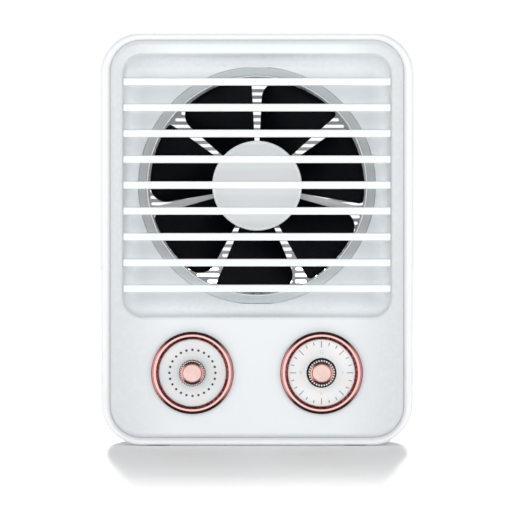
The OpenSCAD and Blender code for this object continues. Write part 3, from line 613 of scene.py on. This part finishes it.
# ------------------------------------------------------------------ window walls and floor
bm = bmesh.new()
top = sweep(bm, WIN_W, WIN_H, WIN_R, FZ, [(0, 3.05), (0, 4.0), (0, 4.8)] + arc(-4.55, 6.8, 4.2, 0, 90, 16), nc=16)
back = sweep(bm, WIN_W, WIN_H, WIN_R, FZ, [(-1.35, 13.6), (-1.3, 13.5), (-1.3, 12.65), (-1.2, 12.6), (1.2, 10), (1.6, 4.9), (0.15, 3.05)], nc=16)
bridge(bm, back[-1], top[0])
hole = turn(bm, 0, FZ, [(43.6, 11.0), (43.6, 12.6), (45.1, 12.6), (45.1, 13.6)], n=128)
fill(bm, top[-1], hole[0])
fill(bm, back[0], hole[-1])
for x, z, b, r, h in [(x, FZ + 41, 30, 3.1, 1.25) for x in (-41, 41)] + [(x, FZ + z, 16.6, 2.9, 1.0) for x in (-35, 35) for z in (-35, 35)]:
    turn(bm, x, z, [(r, 13.6), (r, b - 0.3), (r - 0.3, b), (h + 0.1, b), (h, b - 0.1), (h, 13.8), (0, 13.8)], n=32)
make("window_pan", bm, M_RECESS, "case", ["recess_walls", "fan_plate"])

# ------------------------------------------------------------------ louvre bars
bm = bmesh.new()
lo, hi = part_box("louvre_grille")
BAR_D0, BAR_D1 = (lo.y - Y0) / MM, (hi.y - Y0) / MM
for k in range(-4, 5):
    z = FZ + k * 9.42
    rbox(bm, -48.74, 48.74, BAR_D0, BAR_D1, z - 1.35, z + 1.35, 0.42, 5)
    for s in (-1, 1):
        rbox(bm, min(s * 48.5, s * 49.3), max(s * 48.5, s * 49.3), 3.25, 4.4, z - 1.0, z + 1.0, 0.1, 2)
for s in (-1, 1):
    x = s * 49.55
    rbox(bm, x - 0.5, x + 0.5, 3.15, 4.55, FZ - 39.9, FZ + 39.9, 0.2, 3)
make("louvre_bars", bm, M_LOUVRE, "case", ["louvre_grille"])

# ------------------------------------------------------------------ inlet ring
bm = bmesh.new()
turn(bm, 0, FZ, [(43.5, 11.25), (43.5, 12.6), (44.9, 12.65), (45, 12.75), (45, 13.6), (40.5, 13.6), (40.5, 13.0)]
     + [(40.52, 12.4), (40.6, 12.22), (40.9, 12.05), (42.4, 11.38), (42.95, 11.13), (43.1, 11.08), (43.3, 11.08), (43.45, 11.15)], n=160, close=True)
make("inlet_lip", bm, M_RING, "case", ["inlet_ring"])

# ------------------------------------------------------------------ impeller
TIP = 39.6
BLADES, GAP = 7, 6.0


def rim_at(t, a, b, ca, cb):
    s = lambda v: math.degrees(math.asin(v))
    oa, ob = s(ca / (TIP - ca)), s(cb / (TIP - cb))
    if t < a + oa:
        q = math.radians(t - a - oa)
        return (TIP - ca) * math.cos(q) + math.sqrt(max(0, ca * ca - ((TIP - ca) * math.sin(q)) ** 2))
    if t > b - ob:
        q = math.radians(t - b + ob)
        return (TIP - cb) * math.cos(q) + math.sqrt(max(0, cb * cb - ((TIP - cb) * math.sin(q)) ** 2))
    return TIP


def blade_d(s):
    return 16.9 + 12.4 * s + 1.1 * math.sin(math.pi * s)


bm = bmesh.new()
span = 360 / BLADES - GAP
NT = 10
S = [0, 0.006, 0.015, 0.028, 0.045, 0.07] + [0.1 + 0.055 * i for i in range(13)] + [0.79, 0.82, 0.85, 0.88, 0.905, 0.93, 0.95, 0.967, 0.98, 0.99, 0.996, 1.0]
for k in range(BLADES):
    a0 = 90 + GAP / 2 + k * 360 / BLADES
    grid = {}
    for side in (-1, 1):
        for i, s in enumerate(S):
            t = a0 + span * s
            R = rim_at(t, a0, a0 + span, 1.6, 6)
            for j in range(NT + 1):
                u = j / NT
                u = 1 - (1 - u) ** 1.5
                r = 15.6 + (R - 15.6) * u
                th = 0.8 * (1 - 0.35 * u)
                dist = min((s) * span, (1 - s) * span) * math.pi / 180 * r
                edge = min(1.0, math.sqrt(max(0.0, 1 - (1 - min(1, dist / 0.5)) ** 2)) + 0.12)
                tip = min(1.0, math.sqrt(max(0.0, 1 - (1 - min(1, (R - r) / 0.5)) ** 2)) + 0.12)
                d = blade_d(s) + side * th * min(edge, tip)
                grid[side, i, j] = bm.verts.new(V(r * math.cos(math.radians(t)), d, FZ + r * math.sin(math.radians(t))))
    n = len(S)
    for side in (-1, 1):
        for i in range(n - 1):
            for j in range(NT):
                bm.faces.new([grid[side, i, j], grid[side, i + 1, j], grid[side, i + 1, j + 1], grid[side, i, j + 1]])
    for i in range(n - 1):
        for j in (0, NT):
            bm.faces.new([grid[-1, i, j], grid[-1, i + 1, j], grid[1, i + 1, j], grid[1, i, j]])
    for j in range(NT):
        for i in (0, n - 1):
            bm.faces.new([grid[-1, i, j], grid[-1, i, j + 1], grid[1, i, j + 1], grid[1, i, j]])
turn(bm, 0, FZ, [(1.02, 15.05), (HUB_R - 0.4, 15.05), (HUB_R - 0.2, 15.1), (HUB_R - 0.1, 15.3), (HUB_R - 0.1, 30.8), (HUB_R - 0.3, 31),
                 (HUB_R - 1.5, 31), (HUB_R - 1.5, 16.8), (HUB_R - 1.8, 16.5), (3.5, 16.5), (3.5, 19), (1.02, 19)], n=112, close=True)
make("fan_wheel", bm, M_BLADE, "rotor", ["impeller"], sharp=50, weighted=False)

bm = bmesh.new()
turn(bm, 0, FZ, [(0, 15), (0, HUB_D), (4, HUB_D + 0.01), (8, HUB_D + 0.03), (12, HUB_D + 0.08), (14.6, HUB_D + 0.14), (14.8, HUB_D + 0.2), (15.0, HUB_D + 0.21), (15.2, HUB_D + 0.15)]
     + arc(HUB_R - 0.85, HUB_D + 0.95, 0.85, -80, 0, 10) + [(HUB_R, 14.9), (HUB_R - 0.1, 15)], n=128, close=False)
bmesh.ops.holes_fill(bm, edges=[e for e in bm.edges if len(e.link_faces) == 1], sides=0)
make("hub_disc", bm, M_HUB, "rotor", ["hub_cap"])

# ------------------------------------------------------------------ bezels
def bezel(name, x, mat, node):
    bm = bmesh.new()
    R = BEZEL_R
    prof = ([(12.1, 1.58), (13.95, 1.58), (13.95, 0.6), (R, 0.58), (R, -0.45), (R - 0.02, -0.58), (R - 0.08, -0.68), (R - 0.2, -0.78), (R - 0.5, -0.99),
             (R - 0.78, -1.19), (R - 0.92, -1.31), (R - 1.02, -1.38), (R - 1.15, -1.4), (13.2, -1.4), (13.08, -1.36), (13.0, -1.25)]
            + [(12.97, -1.05), (12.93, -0.92)]                     # groove wall
            + [(12.74, -0.84), (12.50, -0.78)]                     # serrated step
            + [(12.36, -0.62), (12.22, -0.2), (12.14, 0.02), (12.1, 0.2)])
    first = len(prof) - 8

    def mod(i, a, r, d):
        if first + 1 <= i <= first + 3:
            s = abs(math.sin(a * 60))
            return r + 0.10 * s, d - 0.16 * s
        return r, d
    turn(bm, x, DZ, prof, n=480, close=True, mod=mod)
    return make(name, bm, mat, "case", [node], sharp=50, weighted=False)


bezel("left_dial_ring", -DX, M_BEZEL_L, "speed_bezel")
bezel("right_dial_ring", DX, M_BEZEL_R, "timer_bezel")

# ------------------------------------------------------------------ marks printed into the dials
bm = bmesh.new()
for k in range(24):
    a = math.radians(15 * k)
    turn(bm, -DX + 8.4 * math.cos(a), DZ + 8.4 * math.sin(a), [(0, 0.94), (0.44, 0.94), (0.44, 0.80), (0.41, 0.77), (0.25, 0.765), (0, 0.765)], n=20)
make("left_dial_dots", bm, M_MARK, "case")


def tick(bm, cx, cz, a, r0, r1, w, d0, d1):
    ca, sa = math.cos(a), math.sin(a)

    def p(r, t, d):
        return V(cx + r * ca - t * sa, d, cz + r * sa + t * ca)
    c = 0.03
    prism(bm, [p(r0 + c, -w + c, d0), p(r1 - c, -w + c, d0), p(r1 - c, w - c, d0), p(r0 + c, w - c, d0)],
          [p(r0, -w, d0 + c), p(r1, -w, d0 + c), p(r1, w, d0 + c), p(r0, w, d0 + c)])
    prism(bm, [p(r0, -w, d0 + c), p(r1, -w, d0 + c), p(r1, w, d0 + c), p(r0, w, d0 + c)],
          [p(r0, -w, d1), p(r1, -w, d1), p(r1, w, d1), p(r0, w, d1)])


bm = bmesh.new()
for k in range(24):
    r0, r1 = (9.22, 11.48) if k % 3 == 0 else (10.22, 11.38)
    tick(bm, DX, DZ, math.radians(15 * k), r0, r1, 0.14, 0.78, 0.915)
make("right_dial_ticks", bm, M_TICK, "case")

# small plain numbers at the quarters of the timer dial
for num, a in (("12", 90), ("3", 0), ("6", 270), ("9", 180)):
    cu = bpy.data.curves.new("numeral_" + num, "FONT")
    cu.body = num
    cu.size = 1.7 * MM
    cu.extrude = 0.015 * MM
    cu.align_x = "CENTER"
    cu.align_y = "CENTER"
    ob = bpy.data.objects.new("numeral_" + num, cu)
    scene.collection.objects.link(ob)
    ob.rotation_euler = (math.pi / 2, 0, 0)
    ob.location = V(DX + 7.6 * math.cos(math.radians(a)), 0.785, DZ + 7.6 * math.sin(math.radians(a)))
    ob.data.materials.append(M_NUM)
    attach(ob, "case")

# ------------------------------------------------------------------ timer collar
bm = bmesh.new()
turn(bm, DX, DZ, [(3.65, 0.79), (5.45, 0.79), (5.45, 0.62), (5.40, 0.54), (5.30, 0.5), (3.75, 0.5), (3.65, 0.54)], n=96, close=True)
make("timer_collar_ring", bm, M_COLLAR, "case", ["timer_collar"])

# ------------------------------------------------------------------ knobs
KR = (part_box("speed_knob")[1].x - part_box("speed_knob")[0].x) / 2 / MM


def knob(side, x):
    body = side + "_control"
    bm = bmesh.new()
    prof = ([(3.02, -0.3), (KR - 0.05, -0.3), (KR, -0.45), (KR, -3.85), (KR - 0.04, -4.02), (KR - 0.16, -4.18), (KR - 0.34, -4.27), (3.92, -4.3)]
            + [(3.02, -4.3)])

    def mod(i, a, r, d):
        if 1 <= i <= 6:
            s = abs(math.sin(a * KN / 2)) ** 0.7
            dep = {1: 0.34, 2: 0.42, 3: 0.42, 4: 0.42, 5: 0.40, 6: 0.22}[i]
            return r - dep * (1 - s), d + (0.35 * (1 - s) if i in (5, 6) else 0)
        return r, d
    turn(bm, x, DZ, prof, n=KN * 12, close=True, mod=mod)
    make(side + "_knob_skirt", bm, M_KNURL_L if x < 0 else M_KNURL_R, body, [side + "_knob"], sharp=60, weighted=False)
    bm = bmesh.new()
    turn(bm, x, DZ, [(3.42, -4.32), (4.14, -4.32), (4.17, -4.38), (4.15, -4.44), (4.08, -4.52), (3.9, -4.645), (3.7, -4.78), (3.56, -4.88), (3.49, -4.91), (3.44, -4.92), (3.42, -4.9)], n=96, close=True)
    make(side + "_knob_band", bm, M_ROSE_L if x < 0 else M_ROSE_R, body, [side + "_knob_ring"])
    bm = bmesh.new()
    turn(bm, x, DZ, [(0, -4.32), (3.3, -4.32), (3.35, -4.4)] + arc(2.9, -5.52, 0.45, 0, -90, 12) + [(2.4, -5.985), (1.2, -5.995), (0, -6)], n=96)
    make(side + "_knob_cap", bm, M_CAP, body, [side + "_cap"])


knob("speed", -DX)
knob("timer", DX)

# ------------------------------------------------------------------ back cover
bm = bmesh.new()
lo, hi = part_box("rear_cover")
BACK_IN = BODY_D - 2.8
BACK_OUT = (hi.y - Y0) / MM
bw, bh = (hi.x - lo.x) / MM, (hi.z - lo.z) / MM
outer = sweep(bm, bw, bh, PAN_R, CZ, [(0, BACK_IN), (0, BACK_OUT - 0.5)] + arc(-0.5, BACK_OUT - 0.5, 0.5, 0, 90, 6)[1:], nc=20)
fr, rr = [outer[0]], [outer[-1]]
PITCH, SH, RC = 2.44, 1.2, 40.5
for i in range(-15, 17):
    zz = (i - 0.5) * PITCH
    if abs(zz) + SH / 2 >= RC:
        continue
    xm = math.sqrt(RC * RC - (abs(zz) + SH / 2) ** 2)
    for a, b in ((-xm, -14.4), (-13.2, 13.2), (14.4, xm)):
        a, b = max(a, -xm), min(b, xm)
        if b - a < 2.2:
            continue
        rings = []
        for d, g in ((BACK_IN, 0.0), (BACK_OUT - 0.3, 0.0), (BACK_OUT - 0.1, 0.06), (BACK_OUT, 0.2)):
            loop = rr_loop(b - a + 2 * g, SH + 2 * g, SH / 2 - 0.02 + g, FZ + zz, 0, 4, (a + b) / 2)
            rings.append([bm.verts.new(V(x, d, z)) for x, z in loop])
        for u, v in zip(rings, rings[1:]):
            bridge(bm, u, v)
        fr.append(rings[0])
        rr.append(rings[-1])
for x, z in ((-41, FZ + 41), (41, FZ + 41), (-46, 10.5), (46, 10.5)):
    t = turn(bm, x, z, [(3.6, BACK_IN), (3.6, 30.5), (3.3, 30.2), (1.6, 30.2), (1.6, 33), (2.9, 33), (2.9, BACK_OUT - 0.4), (3.0, BACK_OUT - 0.15), (3.25, BACK_OUT)], n=40)
    fr.append(t[0])
    rr.append(t[-1])
u = []
for d, g in ((BACK_IN, 0.0), (BACK_OUT - 0.5, 0.0), (BACK_OUT - 0.2, 0.1), (BACK_OUT, 0.4)):
    u.append([bm.verts.new(V(x, d, z)) for x, z in rr_loop(9.6 + 2 * g, 3.8 + 2 * g, 1.88 + g, 33.65, 0, 8)])
for a, b in zip(u, u[1:]):
    bridge(bm, a, b)
fr.append(u[0])
rr.append(u[-1])
fill(bm, *fr)
fill(bm, *rr)
for x in (-19, 19):
    rbox(bm, x - 1.5, x + 1.5, 48, BACK_IN, 28.3, 30.3, 0.25, 2)
make("back_cover_skin", bm, M_COVER, "case", ["rear_cover"])

# ------------------------------------------------------------------ camera, floor, light
cam = bpy.data.cameras.new("camera")
cam.sensor_width = 36.0
DIST = 1.5
cam.lens = 36.0 * DIST / 0.18928
cam.clip_start, cam.clip_end = 0.05, 50
co = bpy.data.objects.new("camera", cam)
scene.collection.objects.link(co)
co.location = (0.0011, Y0 - DIST, 0.0677)
co.rotation_euler = (math.pi / 2, 0, 0)
scene.camera = co

fm = Mat("floor_pale")
c = fm.mix(fm.ramp(fm.noise(6, 2), 0.3, 0.7), (0.93, 0.93, 0.93), (0.95, 0.95, 0.95))
fm.link(c, fm.b.inputs["Base Color"])
fm.set(Roughness=0.5)
me = bpy.data.meshes.new("floor")
s = 30.0
me.from_pydata([(-s, -s, 0), (s, -s, 0), (s, s, 0), (-s, s, 0)], [], [(0, 1, 2, 3)])
floor = bpy.data.objects.new("floor", me)
scene.collection.objects.link(floor)
me.materials.append(fm.m)
floor.visible_glossy = False

world = bpy.data.worlds.new("studio")
scene.world = world
world.use_nodes = True
wt = world.node_tree
wt.nodes.clear()


def wn(kind, **kw):
    x = wt.nodes.new(kind)
    for k, v in kw.items():
        setattr(x, k, v)
    return x


def wmath(op, a, b=None, clamp=False):
    x = wn("ShaderNodeMath", operation=op, use_clamp=clamp)
    for i, v in enumerate((a, b)):
        if v is None:
            continue
        if isinstance(v, (int, float)):
            x.inputs[i].default_value = v
        else:
            wt.links.new(v, x.inputs[i])
    return x.outputs[0]


def wramp(f, a, b, lo=0.0, hi=1.0):
    x = wn("ShaderNodeMapRange")
    for k, v in (("From Min", a), ("From Max", b), ("To Min", lo), ("To Max", hi)):
        x.inputs[k].default_value = v
    wt.links.new(f, x.inputs["Value"])
    return x.outputs[0]


gen = wn("ShaderNodeTexCoord").outputs["Generated"]
sep = wn("ShaderNodeSeparateXYZ")
wt.links.new(gen, sep.inputs[0])
up = wmath("ABSOLUTE", sep.outputs[2])
flat = wramp(up, 0.42, 0.72, 1.0, 0.0)              # bright band round the horizon, dark above and below
left = wramp(sep.outputs[0], -1.0, 1.0, 1.05, 0.80)
gloss = wmath("ADD", wmath("MULTIPLY", wmath("MULTIPLY", flat, left), 1.08), 0.06)
path = wn("ShaderNodeLightPath")
mixv = wn("ShaderNodeMix", data_type="FLOAT")
wt.links.new(path.outputs["Is Glossy Ray"], mixv.inputs[0])
mixv.inputs[2].default_value = 0.55
wt.links.new(gloss, mixv.inputs[3])
mixc = wn("ShaderNodeMix", data_type="FLOAT")
wt.links.new(path.outputs["Is Camera Ray"], mixc.inputs[0])
wt.links.new(mixv.outputs[0], mixc.inputs[2])
mixc.inputs[3].default_value = 1.05
bg = wn("ShaderNodeBackground")
bg.inputs["Color"].default_value = (0.985, 0.995, 1.0, 1)
wt.links.new(mixc.outputs[0], bg.inputs["Strength"])
wo = wn("ShaderNodeOutputWorld")
wt.links.new(bg.outputs[0], wo.inputs[0])


def area(name, loc, target, size, power, color=(1, 1, 1)):
    li = bpy.data.lights.new(name, "AREA")
    li.shape = "RECTANGLE"
    li.size, li.size_y = size
    li.energy = power
    li.color = color
    ob = bpy.data.objects.new(name, li)
    scene.collection.objects.link(ob)
    ob.location = loc
    ob.rotation_euler = (Vector(target) - Vector(loc)).to_track_quat("-Z", "Y").to_euler()
    return ob


def sun(name, elev, strength, angle, front=False):
    li = bpy.data.lights.new(name, "SUN")
    li.energy = strength
    li.angle = math.radians(angle)
    ob = bpy.data.objects.new(name, li)
    scene.collection.objects.link(ob)
    e = math.radians(elev)
    ob.rotation_euler = Vector((0, (1 if front else -1) * math.cos(e), -math.sin(e))).to_track_quat("-Z", "Y").to_euler()
    return ob


# some lights fall only on the floor and some only on the object, as flags would do it in a studio
floor_only = bpy.data.collections.new("floor_only")
floor_only.objects.link(floor)
not_floor = bpy.data.collections.new("not_floor")
not_floor.objects.link(floor)
not_floor.collection_objects[0].light_linking.link_state = "EXCLUDE"

# floor: soft light from behind, in steps of height, so the shadow in front of the case fades out slowly
for i, (elev, share) in enumerate(((60, 0.05), (45, 0.06), (34, 0.07), (26, 0.07), (20, 0.06), (15, 0.05), (11, 0.05))):
    li = sun("back_%d" % i, elev, share * math.pi / 0.93 / math.sin(math.radians(elev)), 9)
    li.light_linking.receiver_collection = floor_only
li = sun("floor_front", 50, 0.09 * math.pi / 0.93 / math.sin(math.radians(50)), 30, True)
li.light_linking.receiver_collection = floor_only

# object: broad light on the front from four sides, so the window's walls stay light, and one from behind and above
for name, loc, size, power in (("fill_left", (-1.1, -1.1, 0.20), (0.5, 0.5), 2.7), ("fill_right", (1.1, -1.1, 0.20), (0.5, 0.5), 2.45),
                               ("fill_top", (0.0, -1.1, 0.66), (0.7, 0.14), 2.0), ("fill_low", (0.0, -1.2, 0.03), (0.6, 0.10), 2.9)):
    li = area(name, loc, (0, -0.03, 0.08), size, power)
    li.visible_camera = False
    li.visible_glossy = False
    li.light_linking.receiver_collection = not_floor
li = sun("top_back", 62, 1.0, 25)
li.light_linking.receiver_collection = not_floor
li = sun("bounce", -62, 0.62, 40, True)         # light thrown back up from the floor on to the undersides
li.visible_glossy = False
li.light_linking.receiver_collection = not_floor
li.light_linking.blocker_collection = not_floor

# light that reaches the parts behind the blades
inner = bpy.data.collections.new("inner_parts")
for ob in scene.objects:
    if ob.name.startswith(("back_cover_skin", "fan_duct", "motor_mount", "duct_")):
        inner.objects.link(ob)
li = sun("inner_front", 12, 0.7, 30, True)
li.light_linking.receiver_collection = inner
li.light_linking.blocker_collection = inner

scene.view_settings.view_transform = "Standard"
scene.view_settings.look = "None"
